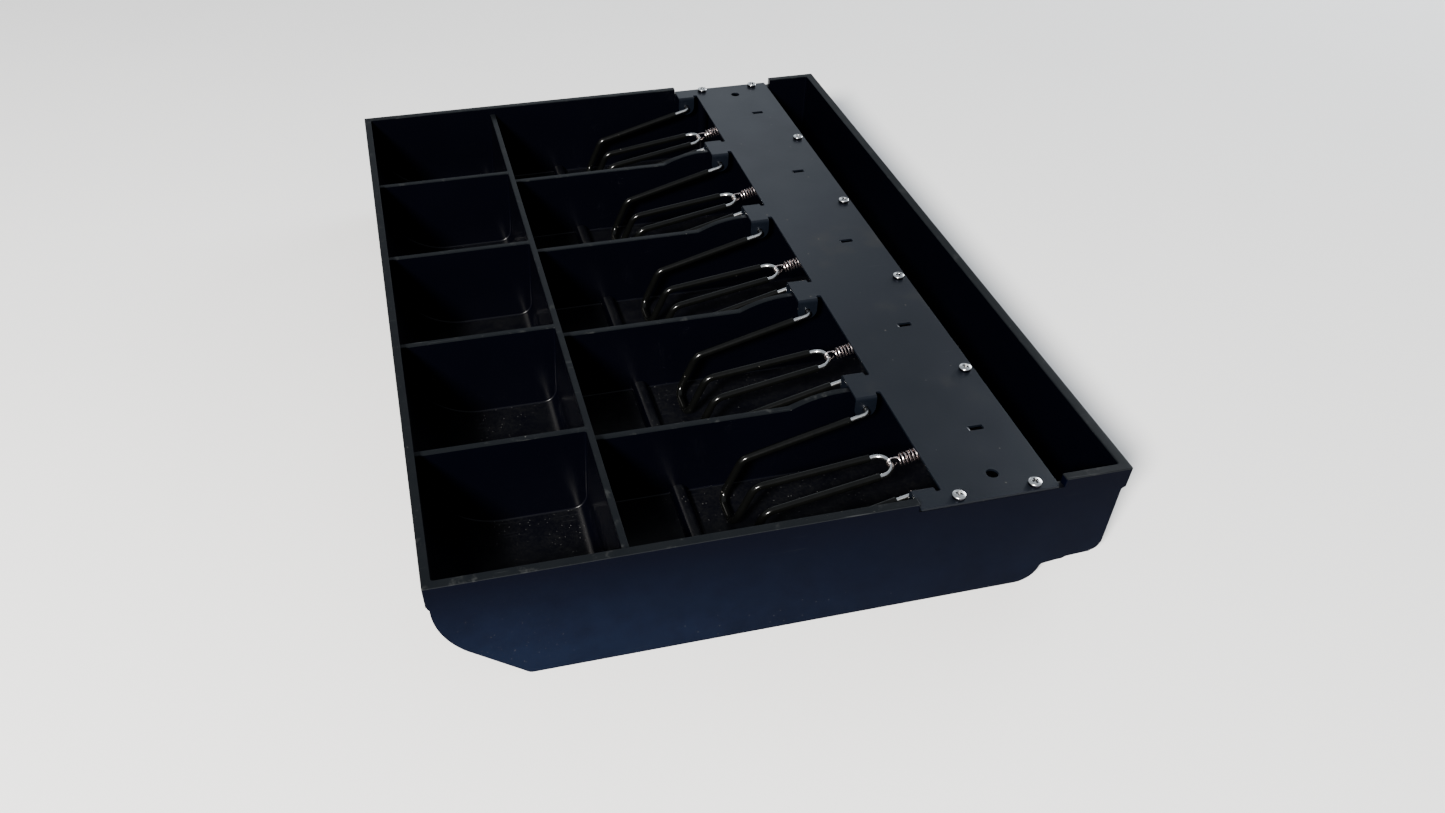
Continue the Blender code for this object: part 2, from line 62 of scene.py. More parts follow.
# The tray, as in the CAD.
LENGTH, DEPTH, HEIGHT = 375.0, 270.6, 56.0
RIM_X, FRONT, BACK = LENGTH / 2, -DEPTH / 2, DEPTH / 2
RIM_END, RIM_BACK = 3.7, 4.3
SKIRT_DEPTH, SKIRT_TAPER = 10.0, 0.4
WALL_FRONT_OUTER, WALL_BACK_OUTER = -133.7, 132.3
END_DRAFT = math.tan(math.radians(2.0))
WALL_DRAFT = math.tan(math.radians(1.2))
DIVIDER, DIVIDER_REACH = 2.8, 3.0  # the reach is from a divider's middle to past its foot
FLOOR, FLOOR_UNDERSIDE, CHANNEL_STEP = 11.5, 9.5, 1.9
COIN_TOP, NOTE_TOP, SHELF = 52.2, 46.6, 51.9
SCOOP_RADIUS, SHELL, SCOOP_Y = 33.0, 2.0, -98.7
SCOOP_CENTRE = (SCOOP_Y, FLOOR + SCOOP_RADIUS)
SCOOP_SLANT = math.radians(52.0)
COIN_BACK_FILLET = 7.0
LONG_DIVIDER_FRONT, LONG_DIVIDER_BACK = -63.4, -60.6
LONG_DIVIDER_Y = (LONG_DIVIDER_FRONT + LONG_DIVIDER_BACK) / 2
BEAD_Y, BEAD_RADIUS = -25.0, 4.0
HUMP_START, HUMP_END = 23.0, 46.0
BAY_BACK, CHANNEL_FRONT = 102.3, 104.7
BAY_WALL_Y = (BAY_BACK + CHANNEL_FRONT) / 2
CHANNEL_STEP_Y, CHANNEL_STEP_RUN, CHANNEL_BACK_FILLET = 117.0, 1.0, 4.5
RUNNER, RUNNER_TOE_RADIUS, RUNNER_HEEL_RADIUS, RUNNER_HEEL_Y = 3.2, 3.0, 9.5, 107.0
ABOVE = HEIGHT + 4.0
WELL_FILLET, NOTE_FILLET = 0.9, 0.8
END_ROUND, EDGE_ROUND = 0.9, 0.4
INSIDE_INDEX, TOPS_INDEX = 1, 2  # the tray's second and third materials

# The plate and its screws.
SHEET = 1.0
PLATE_BOTTOM = SHELF + 0.3
PLATE_TOP = PLATE_BOTTOM + SHEET
PLATE_FRONT, PLATE_BACK = 48.7, 105.0
RECESS_FRONT, RECESS_BACK = 48.0, 107.3
NOTCH_BACK, NOTCH_HALF, RELIEF = 60.2, 28.03, 1.7
EAR_LENGTH, EAR_HOLE_RADIUS = 9.3, 1.35
BEND_INNER = 0.5
PLATE_EDGE, EAR_EDGE = 0.06, 0.1
SLOT_FRONT, SLOT_BACK, SLOT_HALF, SLOT_CORNER = 85.4, 91.9, 1.35, 0.35
FIXING_HOLE_X, FIXING_HOLE_Y, FIXING_HOLE_RADIUS = 174.9, 83.1, 2.45
SCREW_END_X, SCREW_END_Y, SCREW_BACK_Y = 184.2, (65.0, 96.1), 101.0
HEAD_RADIUS, HEAD_HEIGHT, SHANK_RADIUS, SCREW_HOLE_RADIUS = 2.62, 1.9, 1.3, 1.7
END_BOSS_X, END_BOSS_RADIUS, BOSS_RADIUS = 182.6, 3.2, 3.4

# The clips and springs.
PIVOT = (PLATE_FRONT + EAR_LENGTH / 2, 47.4)
ARM_BEND, FOOT, APEX = (-0.4, 32.9), (-8.9, 13.4), (53.75, 41.5)
PIVOT_TIP, OUTER_ARM, INNER_ARM, APEX_HALF = 30.5, 25.0, 7.5, 5.6
WIRE_RADIUS, SLEEVE_INNER, SLEEVE_OUTER = 1.0, 1.08, 1.65
SLEEVE_FROM_Y, SLEEVE_TO_Y = 45.7, 47.1
PIVOT_BEND_RADIUS, ARM_BEND_RADIUS, FOOT_RADIUS, APEX_RADIUS = 2.0, 6.0, 5.5, 5.4
BEND_STEPS = 10
ANCHOR = (87.0, 50.2)
SPRING_WIRE, COIL_MEAN = 0.31, 2.50
COIL_FROM, COIL_TURNS, COIL_PITCH, TURN_POINTS = 3.4, 10, 1.464, 18
COIL_END = COIL_FROM + COIL_TURNS * COIL_PITCH


# ---------------------------------------------------------------- mesh helpers


def finish_object(name, bm, mat, body=BODY, weighted=True):
    """Turn the bmesh, in mm, into a smooth-shaded object, which rides on a body if one is named."""
    bmesh.ops.recalc_face_normals(bm, faces=bm.faces)
    bmesh.ops.scale(bm, verts=bm.verts, vec=(MM, MM, MM))
    mesh = bpy.data.meshes.new(name)
    bm.to_mesh(mesh)
    bm.free()
    mesh.shade_smooth()
    mesh.set_sharp_from_angle(angle=math.radians(SHADE_SMOOTH_BELOW))
    mesh.materials.append(mat)
    obj = bpy.data.objects.new(name, mesh)
    bpy.context.collection.objects.link(obj)
    if weighted:
        modifier = obj.modifiers.new("weighted normals", "WEIGHTED_NORMAL")
        modifier.keep_sharp = True
    if body:
        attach(obj, body)
    return obj


def solid_boolean(bm, other, operation):
    """bm combined with another closed bmesh. Both are used up."""
    shortest_edge = 0.06
    made = []
    for part in (bm, other):
        bmesh.ops.recalc_face_normals(part, faces=part.faces)
        mesh = bpy.data.meshes.new("scratch")
        part.to_mesh(mesh)
        part.free()
        obj = bpy.data.objects.new("scratch", mesh)
        bpy.context.collection.objects.link(obj)
        made.append(obj)
    modifier = made[0].modifiers.new("boolean", "BOOLEAN")
    modifier.operation = operation
    modifier.solver = "EXACT"
    modifier.object = made[1]
    bpy.context.view_layer.update()
    evaluated = made[0].evaluated_get(bpy.context.evaluated_depsgraph_get())
    result = bmesh.new()
    result.from_mesh(evaluated.to_mesh())
    evaluated.to_mesh_clear()
    for obj in made:
        mesh = obj.data
        bpy.data.objects.remove(obj)
        bpy.data.meshes.remove(mesh)
    bmesh.ops.dissolve_degenerate(result, dist=shortest_edge, edges=result.edges)
    return result


def join(bm, other):
    """Add another bmesh's shells to bm as they are."""
    mesh = bpy.data.meshes.new("scratch")
    other.to_mesh(mesh)
    other.free()
    bm.from_mesh(mesh)
    bpy.data.meshes.remove(mesh)


def arc(centre, radius, start, end, steps):
    """Points of an arc in a plane, from one angle to another."""
    angles = [start + (end - start) * i / steps for i in range(steps + 1)]
    return [(centre[0] + radius * math.cos(a), centre[1] + radius * math.sin(a)) for a in angles]


def bridge(bm, first, second):
    """Faces between two rings of as many vertices."""
    for i in range(len(first)):
        j = (i + 1) % len(first)
        bm.faces.new((first[i], first[j], second[j], second[i]))


def upright(x):
    """An end for add_prism_x that is at the same x at every height."""
    return lambda z: x


def add_prism_x(bm, outline, x_low, x_high):
    """A prism along X. Its (y, z) outline ends at the x that each function gives for a height."""
    low = [bm.verts.new((x_low(z), y, z)) for y, z in outline]
    high = [bm.verts.new((x_high(z), y, z)) for y, z in outline]
    faces = [bm.faces.new(low), bm.faces.new(reversed(high))]
    for i in range(len(outline)):
        j = (i + 1) % len(outline)
        faces.append(bm.faces.new((low[j], low[i], high[i], high[j])))
    return faces


def add_prism_z(bm, outline, bottom, top):
    """An upright prism on an (x, y) outline."""
    low = [bm.verts.new((x, y, bottom)) for x, y in outline]
    high = [bm.verts.new((x, y, top)) for x, y in outline]
    bm.faces.new(reversed(low))
    bm.faces.new(high)
    bridge(bm, low, high)


def circle(x, y, radius, sides=32):
    turns = [2 * math.pi * (i + 0.5) / sides for i in range(sides)]
    return [(x + radius * math.cos(a), y + radius * math.sin(a)) for a in turns]


def bevel(bm, edges, width, segments, clamp=True):
    """Round the edges."""
    bmesh.ops.bevel(
        bm,
        geom=list(edges),
        offset=width,
        offset_type="OFFSET",
        segments=segments,
        profile=0.5,
        affect="EDGES",
        clamp_overlap=clamp,
        miter_outer="SHARP",
        miter_inner="SHARP",
        material=-1,
    )


def middle_of(edge):
    return (edge.verts[0].co + edge.verts[1].co) / 2


def sharp_edges(bm, least, convex=None, where=None):
    """The edges of at least this many degrees. If where is given, it picks by their middles."""
    limit = math.radians(least)
    no_length = 1e-4
    found = []
    for edge in bm.edges:
        if len(edge.link_faces) != 2 or edge.calc_length() < no_length:
            continue
        if edge.calc_face_angle(0.0) < limit:
            continue
        if convex is not None and edge.is_convex != convex:
            continue
        if where and not where(middle_of(edge)):
            continue
        found.append(edge)
    return found


# ---------------------------------------------------------------- tray


def bay_centre(bay):
    return (bay - (BAYS - 1) / 2) * PITCH


def divider_x(divider):
    return (divider - (BAYS - 2) / 2) * PITCH


def end_outer(z):
    return RIM_X - (HEIGHT - z) * END_DRAFT


def end_inner(z):
    return RIM_X - RIM_END - (HEIGHT - z) * END_DRAFT


def divider_half(z):
    return DIVIDER / 2 + (COIN_TOP - z) * WALL_DRAFT


def long_divider_front(z):
    return LONG_DIVIDER_FRONT - (COIN_TOP - z) * WALL_DRAFT


def long_divider_back(z):
    return LONG_DIVIDER_BACK + (COIN_TOP - z) * WALL_DRAFT


def bay_back(z):
    return BAY_BACK - (SHELF - z) * WALL_DRAFT


def channel_front(z):
    return CHANNEL_FRONT + (SHELF - z) * WALL_DRAFT


def channel_back(z):
    return BACK - RIM_BACK - (HEIGHT - z) * WALL_DRAFT


def tray_outline():
    """The outside of the tray in (y, z), from the front rim round its foot to the back rim."""
    scoop = arc(SCOOP_CENTRE, SCOOP_RADIUS + SHELL, math.pi, math.pi + SCOOP_SLANT, 14)
    slant_run = (scoop[-1][1] - RUNNER_TOE_RADIUS) * math.tan(SCOOP_SLANT)
    toe_centre = (scoop[-1][0] + slant_run + RUNNER_TOE_RADIUS, RUNNER_TOE_RADIUS)
    toe = arc(toe_centre, RUNNER_TOE_RADIUS, math.pi + SCOOP_SLANT, math.pi * 1.5, 5)
    heel_centre = (RUNNER_HEEL_Y - RUNNER_HEEL_RADIUS, RUNNER_HEEL_RADIUS)
    heel = arc(heel_centre, RUNNER_HEEL_RADIUS, -math.pi / 2, 0.0, 10)
    step = FLOOR_UNDERSIDE + CHANNEL_STEP
    corner_centre = (WALL_BACK_OUTER - CHANNEL_BACK_FILLET, step + CHANNEL_BACK_FILLET)
    corner = arc(corner_centre, CHANNEL_BACK_FILLET, -math.pi / 2, 0.0, 7)
    skirt = HEIGHT - SKIRT_DEPTH
    front_rim = [(FRONT, HEIGHT), (FRONT + SKIRT_TAPER, skirt), (WALL_FRONT_OUTER, skirt)]
    back_rim = [(WALL_BACK_OUTER, skirt), (BACK - SKIRT_TAPER, skirt), (BACK, HEIGHT)]
    run = CHANNEL_STEP_RUN / 2
    channel_floor = [(CHANNEL_STEP_Y - run, FLOOR_UNDERSIDE), (CHANNEL_STEP_Y + run, step)]
    return front_rim + scoop + toe + heel + channel_floor + corner + back_rim


def cavity_outline():
    """The coin wells, note bays and back channel in one, as if there were no dividers along Y."""
    scoop = arc(SCOOP_CENTRE, SCOOP_RADIUS, math.pi, math.pi * 1.5, 22)
    fillet_y = long_divider_front(FLOOR + COIN_BACK_FILLET) - COIN_BACK_FILLET
    fillet = arc((fillet_y, FLOOR + COIN_BACK_FILLET), COIN_BACK_FILLET, -math.pi / 2, 0.0, 8)
    coin_wells = [(SCOOP_Y - SCOOP_RADIUS, ABOVE)] + scoop + fillet
    divider_sides = (long_divider_front, long_divider_back)
    long_divider = [(side(COIN_TOP), COIN_TOP) for side in divider_sides]
    note_bays = [(long_divider_back(FLOOR), FLOOR), (bay_back(FLOOR), FLOOR)]
    bay_wall = [(side(SHELF), SHELF) for side in (bay_back, channel_front)]
    step = FLOOR + CHANNEL_STEP
    floor = [(channel_front(FLOOR), FLOOR)]
    floor += [(CHANNEL_STEP_Y - CHANNEL_STEP_RUN, FLOOR), (CHANNEL_STEP_Y + CHANNEL_STEP_RUN, step)]
    radius = CHANNEL_BACK_FILLET - SHELL
    corner_y = channel_back(step + radius) - radius
    corner = arc((corner_y, step + radius), radius, -math.pi / 2, 0.0, 5)
    channel = floor + corner + [(channel_back(ABOVE), ABOVE)]
    return coin_wells + long_divider + note_bays + bay_wall + channel


def coin_divider_outline():
    buried = SHELL / 2
    scoop = arc(SCOOP_CENTRE, SCOOP_RADIUS + buried, math.pi, math.pi * 1.5, 22)
    back = [(LONG_DIVIDER_Y, FLOOR - buried), (LONG_DIVIDER_Y, COIN_TOP)]
    return [(scoop[0][0], COIN_TOP)] + scoop + back


def note_divider_outline():
    """The divider is lower at the front, and rises in a hump to the plate."""
    rise = SHELF - NOTE_TOP
    run = HUMP_END - HUMP_START
    radius = (run**2 + rise**2) / (2 * rise)
    start = math.acos(-run / radius)
    hump = arc((HUMP_END, SHELF - radius), radius, start, math.pi / 2, 10)
    front, back = LONG_DIVIDER_Y, BAY_WALL_Y
    bottom = FLOOR - SHELL / 2
    return [(back, SHELF), (back, bottom), (front, bottom), (front, NOTE_TOP)] + hump


def underside_outline():
    """What is cut away under the floor, between the two end runners."""
    scoop = arc(SCOOP_CENTRE, SCOOP_RADIUS + SHELL, math.pi + SCOOP_SLANT, math.pi * 1.5, 8)
    start_y, start_z = scoop[0]
    clear = 5.0
    below = -clear
    past_heel = RUNNER_HEEL_Y + 3.0
    front = [(start_y - clear, below), (start_y - clear, start_z - clear)]
    return front + scoop + [(past_heel, FLOOR_UNDERSIDE), (past_heel, below)]


def screw_places():
    """(name, x, y) of each screw, in the order in which they are made."""
    places = []
    for side, x in (("left", -SCREW_END_X), ("right", SCREW_END_X)):
        for end, y in zip(("front", "back"), SCREW_END_Y):
            places.append((f"plate_screw_{side}_{end}", x, y))
    for divider in range(BAYS - 1):
        places.append((f"plate_screw_divider_{divider + 1}", divider_x(divider), SCREW_BACK_Y))
    return places


def rectangle(x0, x1, y0, y1):
    return [(x0, y0), (x1, y0), (x1, y1), (x0, y1)]


def side_edges(faces, leave_out):
    """The edges round the first two faces, except those whose middle leave_out picks."""
    edges = [edge for face in faces[:2] for edge in face.edges]
    return [edge for edge in edges if not leave_out(middle_of(edge))]


def build_tray(outside, inside, tops):
    """The moulding: a solid, what is cut from it, then its dividers, fillets, bead and rims."""
    bm = bmesh.new()
    faces = add_prism_x(bm, tray_outline(), lambda z: -end_outer(z), end_outer)
    bevel(bm, side_edges(faces, lambda p: p.z > HEIGHT - NEAR), END_ROUND, 3)

    cutter = bmesh.new()
    past_end = RIM_X + 2.0
    for side, _ in SIDES:
        inner, outer = sorted((side * (END_BOSS_X - END_BOSS_RADIUS), side * past_end))
        add_prism_z(cutter, rectangle(inner, outer, RECESS_FRONT, RECESS_BACK), SHELF, ABOVE)
    bm = solid_boolean(bm, cutter, "DIFFERENCE")

    cutter = bmesh.new()
    add_prism_x(cutter, cavity_outline(), lambda z: -end_inner(z), end_inner)
    bm = solid_boolean(bm, cutter, "DIFFERENCE")

    cutter = bmesh.new()
    runner_inner = end_outer(0.0) - RUNNER
    add_prism_x(cutter, underside_outline(), upright(-runner_inner), upright(runner_inner))
    bm = solid_boolean(bm, cutter, "DIFFERENCE")

    for outline in (coin_divider_outline(), note_divider_outline()):
        dividers = bmesh.new()
        for divider in range(BAYS - 1):
            x = divider_x(divider)
            add_prism_x(
                dividers, outline, lambda z: x - divider_half(z), lambda z: x + divider_half(z)
            )
        bm = solid_boolean(bm, dividers, "UNION")

    regions = (
        (WELL_FILLET, FRONT, LONG_DIVIDER_FRONT),
        (NOTE_FILLET, LONG_DIVIDER_BACK, BAY_WALL_Y),
        (NOTE_FILLET, BAY_WALL_Y, BACK),
    )
    for fillet, least_y, most_y in regions:

        def at_wall(p):
            at_divider = min(abs(p.x - divider_x(d)) for d in range(BAYS - 1)) < DIVIDER_REACH
            at_end = end_inner(p.z) - NEAR < abs(p.x) < end_inner(p.z) + NEAR
            in_region = least_y - 1.0 < p.y < most_y + 1.0
            return (at_divider or at_end) and in_region and FLOOR - NEAR < p.z < SHELF - NEAR

        bevel(bm, sharp_edges(bm, 40.0, convex=False, where=at_wall), fillet, 4, clamp=False)

    bead = bmesh.new()
    buried = 1.0
    half_round = arc((BEAD_Y, FLOOR - 0.02), BEAD_RADIUS, math.pi, 0.0, 14)
    foot = [(BEAD_Y + BEAD_RADIUS, FLOOR - buried), (BEAD_Y - BEAD_RADIUS, FLOOR - buried)]
    bead_end = end_outer(FLOOR) - RIM_END / 2
    add_prism_x(bead, half_round + foot, upright(-bead_end), upright(bead_end))
    bm = solid_boolean(bm, bead, "UNION")

    def at_top(p):
        under_plate = p.z < SHELF + NEAR and p.y > RECESS_FRONT - NEAR
        return p.z > HEIGHT - SKIRT_DEPTH + 0.3 and not under_plate

    top_edges = sharp_edges(bm, 50.0, convex=True, where=at_top)
    bevel(bm, top_edges, EDGE_ROUND, 2, clamp=False)
    tray = finish_object("tray_moulding", bm, outside)
    tray.data.materials.append(inside)
    tray.data.materials.append(tops)
    for face in tray.data.polygons:
        x, y, z = face.center / MM
        within_ends = abs(x) < (end_inner(z) + end_outer(z)) / 2
        within = within_ends and FRONT + 3.0 < y < channel_back(HEIGHT) + 0.5
        under_plate = y > RECESS_FRONT and z < SHELF + NEAR
        # Faces that look up take the tops material, whose paler grey is painted light.
        if face.normal.z > 0.3 and z > NOTE_TOP - 1.0 and not under_plate:
            face.material_index = TOPS_INDEX
        elif within and face.normal.z > -0.05 and z > FLOOR - 0.2:
            face.material_index = INSIDE_INDEX
    return tray


def build_bosses(mat):
    """The posts under the plate's screws, as one piece with the tray."""
    bm = bmesh.new()
    bottom, top = FLOOR - 1.0, SHELF - 0.05
    for _, x, y in screw_places():
        if abs(x) == SCREW_END_X:
            outline = circle(math.copysign(END_BOSS_X, x), y, END_BOSS_RADIUS)
        else:
            outline = circle(x, y, BOSS_RADIUS)
        add_prism_z(bm, outline, bottom, top)
    return finish_object("tray_screw_bosses", bm, mat, weighted=False)


# ---------------------------------------------------------------- plate


def round_corners(points, radii, steps=5):
    """The closed 2-D outline with each corner rounded by its radius."""
    rounded = []
    count = len(points)
    for i, point in enumerate(points):
        corner = Vector(point)
        radius = radii[i]
        back = (Vector(points[i - 1]) - corner).normalized()
        ahead = (Vector(points[(i + 1) % count]) - corner).normalized()
        if radius <= 0.0 or abs(back.cross(ahead)) < 1e-3:
            rounded.append(tuple(corner))
            continue
        half = back.angle(ahead) / 2
        centre = corner + (back + ahead).normalized() * (radius / math.sin(half))
        first = corner + back * (radius / math.tan(half)) - centre
        turn = math.pi - 2 * half
        sign = 1.0 if back.cross(ahead) < 0 else -1.0
        for step in range(steps + 1):
            angle = sign * turn * step / steps
            c, s = math.cos(angle), math.sin(angle)
            x = centre.x + first.x * c - first.y * s
            y = centre.y + first.x * s + first.y * c
            rounded.append((x, y))
    return rounded


def plate_outline():
    """The flat of the plate. At the ears it stops short, where the bend starts."""
    end_x = RIM_X - 0.1
    bend = BEND_INNER + SHEET
    lap = 0.02
    relief_front = PLATE_FRONT + EAR_LENGTH
    corner_radii = [0.8, 0.8]
    notch_radii = [0.15, 0.2, 0.5, 0.8]
    points = [(-end_x, PLATE_BACK), (-end_x, PLATE_FRONT)]
    radii = list(corner_radii)
    for bay in range(BAYS):
        left = bay_centre(bay) - NOTCH_HALF - bend + lap
        right = bay_centre(bay) + NOTCH_HALF + bend - lap
        inner_left = left - RELIEF
        inner_right = right + RELIEF
        points += [(left, PLATE_FRONT), (left, relief_front)]
        points += [(inner_left, relief_front), (inner_left, NOTCH_BACK)]
        points += [(inner_right, NOTCH_BACK), (inner_right, relief_front)]
        points += [(right, relief_front), (right, PLATE_FRONT)]
        radii += notch_radii + notch_radii[::-1]
    points += [(end_x, PLATE_FRONT), (end_x, PLATE_BACK)]
    return round_corners(points, radii + corner_radii)


def bent_strip(bm, stations, along_y, middle):
    """A bent strip of sheet, whose width runs along Y or X about the middle given.

    Each station is (outer point, inner point, half width), the points being in the bend's plane.
    """
    rings = []
    for outer, inner, half in stations:
        ring = []
        for point, sign in ((outer, -1), (outer, 1), (inner, 1), (inner, -1)):
            if along_y:
                ring.append(bm.verts.new((point[0], middle + sign * half, point[1])))
            else:
                ring.append(bm.verts.new((middle + sign * half, point[0], point[1])))
        rings.append(ring)
    for first, second in zip(rings, rings[1:]):
        bridge(bm, first, second)
    bm.faces.new(rings[0])
    bm.faces.new(reversed(rings[-1]))


def ear_stations(face, side):
    """From inside the plate's edge, round the bend and down to the rounded end."""
    radius = EAR_LENGTH / 2
    centre_x = face + side * (SHEET + BEND_INNER)
    centre_z = PLATE_BOTTOM - BEND_INNER
    outer_r, inner_r = BEND_INNER + SHEET, BEND_INNER
    lap, inset = 0.6, 0.2
    bend_steps, end_steps = 8, 12
    least_half, short_of_end = 0.25, 0.998
    inside = centre_x + side * lap
    stations = [((inside, PLATE_TOP - inset), (inside, PLATE_BOTTOM + inset), radius - 0.3)]
    for step in range(bend_steps + 1):
        angle = math.pi / 2 * step / bend_steps
        across, up = -side * math.sin(angle), math.cos(angle)
        outer = (centre_x + across * outer_r, centre_z + up * outer_r)
        inner = (centre_x + across * inner_r, centre_z + up * inner_r)
        stations.append((outer, inner, radius))
    for step in range(end_steps + 1):
        angle = math.pi / 2 * step / end_steps
        z = PIVOT[1] - radius * math.sin(angle) * short_of_end
        half = max(radius * math.cos(angle), least_half)
        stations.append(((face, z), (face + side * SHEET, z), half))
    return stations


def tab_stations():
    """The lanced tab that holds a spring: it bends down from the front of its slot."""
    radius, straight, bend_steps = 0.5, 3.6, 6
    half, tip_half = 1.1, 0.75
    outer_inset, inner_inset = 0.1, 0.02
    lean = math.radians(70.0)
    y, z = SLOT_FRONT - 0.1, PLATE_BOTTOM - radius
    start = y - 1.0
    outer_r, inner_r = radius + SHEET - outer_inset, radius - inner_inset
    stations = [((start, PLATE_TOP - outer_inset), (start, PLATE_BOTTOM - inner_inset), half)]
    for step in range(bend_steps + 1):
        across, up = math.sin(lean * step / bend_steps), math.cos(lean * step / bend_steps)
        outer = (y + across * outer_r, z + up * outer_r)
        inner = (y + across * inner_r, z + up * inner_r)
        stations.append((outer, inner, half))
    along = Vector((math.cos(lean), -math.sin(lean))) * straight
    tip_scale = 1.18
    for scale, width in ((1.0, half), (tip_scale, tip_half)):
        run = along * scale
        ends = [(point[0] + run.x, point[1] + run.y) for point in (outer, inner)]
        stations.append((*ends, width))
    return stations


def build_plate(mat):
    """The flat sheet with its holes, then the ears and tabs, which are bent down from it."""
    bm = bmesh.new()
    add_prism_z(bm, plate_outline(), PLATE_BOTTOM, PLATE_TOP)
    cutter = bmesh.new()
    below, above = PLATE_BOTTOM - 1.0, PLATE_TOP + 1.0
    for bay in range(BAYS):
        x = bay_centre(bay)
        slot = rectangle(x - SLOT_HALF, x + SLOT_HALF, SLOT_FRONT, SLOT_BACK)
        add_prism_z(cutter, round_corners(slot, [SLOT_CORNER] * 4, 3), below, above)
    for side, _ in SIDES:
        hole = circle(side * FIXING_HOLE_X, FIXING_HOLE_Y, FIXING_HOLE_RADIUS, 40)
        add_prism_z(cutter, hole, below, above)
    for _, x, y in screw_places():
        add_prism_z(cutter, circle(x, y, SCREW_HOLE_RADIUS, 24), below, above)
    bm = solid_boolean(bm, cutter, "DIFFERENCE")

    ears = bmesh.new()
    holes = bmesh.new()
    hole = circle(*PIVOT, EAR_HOLE_RADIUS, 24)
    for bay in range(BAYS):
        x = bay_centre(bay)
        for side, _ in SIDES:
            face = x + side * NOTCH_HALF
            bent_strip(ears, ear_stations(face, side), True, PIVOT[0])
            inner, outer = sorted((face, face + side * SHEET))
            add_prism_x(holes, hole, upright(inner - 1.0), upright(outer + 1.0))
        bent_strip(ears, tab_stations(), False, x)
    ears = solid_boolean(ears, holes, "DIFFERENCE")
    bevel(ears, sharp_edges(ears, 60.0), EAR_EDGE, 1)
    bevel(bm, sharp_edges(bm, 60.0), PLATE_EDGE, 2)
    join(bm, ears)
    return finish_object("retainer_plate_sheet", bm, mat)


# ---------------------------------------------------------------- screws


def build_screw(name, x, y, turn, mat):
    """A pan head with a cross recess. The shank is hidden in its boss."""
    seat = PLATE_TOP + 0.02
    dome_radius, dome_edge, dome_steps = 9.0, HEAD_RADIUS - 0.55, 7
    profile = []
    for step in range(1, dome_steps + 1):
        radius = dome_edge * step / dome_steps
        profile.append((radius, HEAD_HEIGHT - dome_radius + math.sqrt(dome_radius**2 - radius**2)))
    shoulder_radius, shoulder_out, shoulder_drop = 0.6, 0.02, 0.62
    centre = (dome_edge, profile[-1][1] - shoulder_drop)
    shoulder = arc(centre, shoulder_radius, 0.0, math.pi / 2, 6)
    profile += [(r + shoulder_out, z) for r, z in reversed(shoulder)][1:]
    profile += [(HEAD_RADIUS, 0.25), (HEAD_RADIUS - 0.12, 0.0)]
    profile += [(SHANK_RADIUS, 0.0), (SHANK_RADIUS, -8.0), (0.5, -9.6)]
    sides = 40
    turns = [2 * math.pi * i / sides for i in range(sides)]
    bm = bmesh.new()
    top = bm.verts.new((0.0, 0.0, HEAD_HEIGHT))
    rings = []
    for radius, z in profile:
        rings.append([bm.verts.new((radius * math.cos(a), radius * math.sin(a), z)) for a in turns])
    for i in range(sides):
        bm.faces.new((top, rings[0][i], rings[0][(i + 1) % sides]))
    for first, second in zip(rings, rings[1:]):
        for i in range(sides):
            j = (i + 1) % sides
            bm.faces.new((first[j], first[i], second[i], second[j]))
    bm.faces.new(rings[-1])
    cross = bmesh.new()
    half, tip, arm, flare = 0.42, 0.2, 1.55, 1.12
    bottom, above = HEAD_HEIGHT - 1.5, HEAD_HEIGHT + 0.4
    plan = [(half, half), (arm, half), (arm, -half), (half, -half), (half, -arm), (-half, -arm)]
    plan += [(-half, -half), (-arm, -half), (-arm, half), (-half, half), (-half, arm), (half, arm)]
    low = [cross.verts.new((px * tip / half, py * tip / half, bottom)) for px, py in plan]
    high = [cross.verts.new((px * flare, py * flare, above)) for px, py in plan]
    cross.faces.new(low)
    cross.faces.new(reversed(high))
    bridge(cross, low, high)
    bm = solid_boolean(bm, cross, "DIFFERENCE")
    bevel(bm, sharp_edges(bm, 45.0, where=lambda p: p.z > 1.0), 0.05, 1)
    placed = Matrix.Translation((x, y, seat)) @ Matrix.Rotation(turn, 4, "Z")
    bmesh.ops.transform(bm, matrix=placed, verts=bm.verts)
    return finish_object(name + "_head", bm, mat)


# ---------------------------------------------------------------- wires, sleeves and springs


def rounded_path(corners, steps):
    """The points of a path whose corners are (point, radius), each bend taken on its radius."""
    points = []
    for i, (corner, radius) in enumerate(corners):
        if radius == 0.0:
            points.append(corner)
            continue
        back = (corners[i - 1][0] - corner).normalized()
        ahead = (corners[i + 1][0] - corner).normalized()
        half = back.angle(ahead) / 2
        centre = corner + (back + ahead).normalized() * (radius / math.sin(half))
        start = corner + back * (radius / math.tan(half)) - centre
        axis = back.cross(start).normalized()
        turn = math.pi - 2 * half
        across = axis.cross(start)
        for step in range(steps + 1):
            angle = turn * step / steps
            points.append(centre + start * math.cos(angle) + across * math.sin(angle))
    return points


def frames_along(path, normal):
    """Two directions across the path at each of its points, carried along without twist."""
    frames = []
    for i, point in enumerate(path):
        before = (point - path[i - 1]).normalized() if i else Vector()
        after = (path[i + 1] - point).normalized() if i + 1 < len(path) else Vector()
        tangent = (before + after).normalized()
        normal = (normal - tangent * normal.dot(tangent)).normalized()
        frames.append((normal, tangent.cross(normal)))
    return frames


def add_ring(bm, centre, frame_here, radius, sides):
    side, up = frame_here
    turns = [2 * math.pi * i / sides for i in range(sides)]
    return [bm.verts.new(centre + (side * math.cos(a) + up * math.sin(a)) * radius) for a in turns]


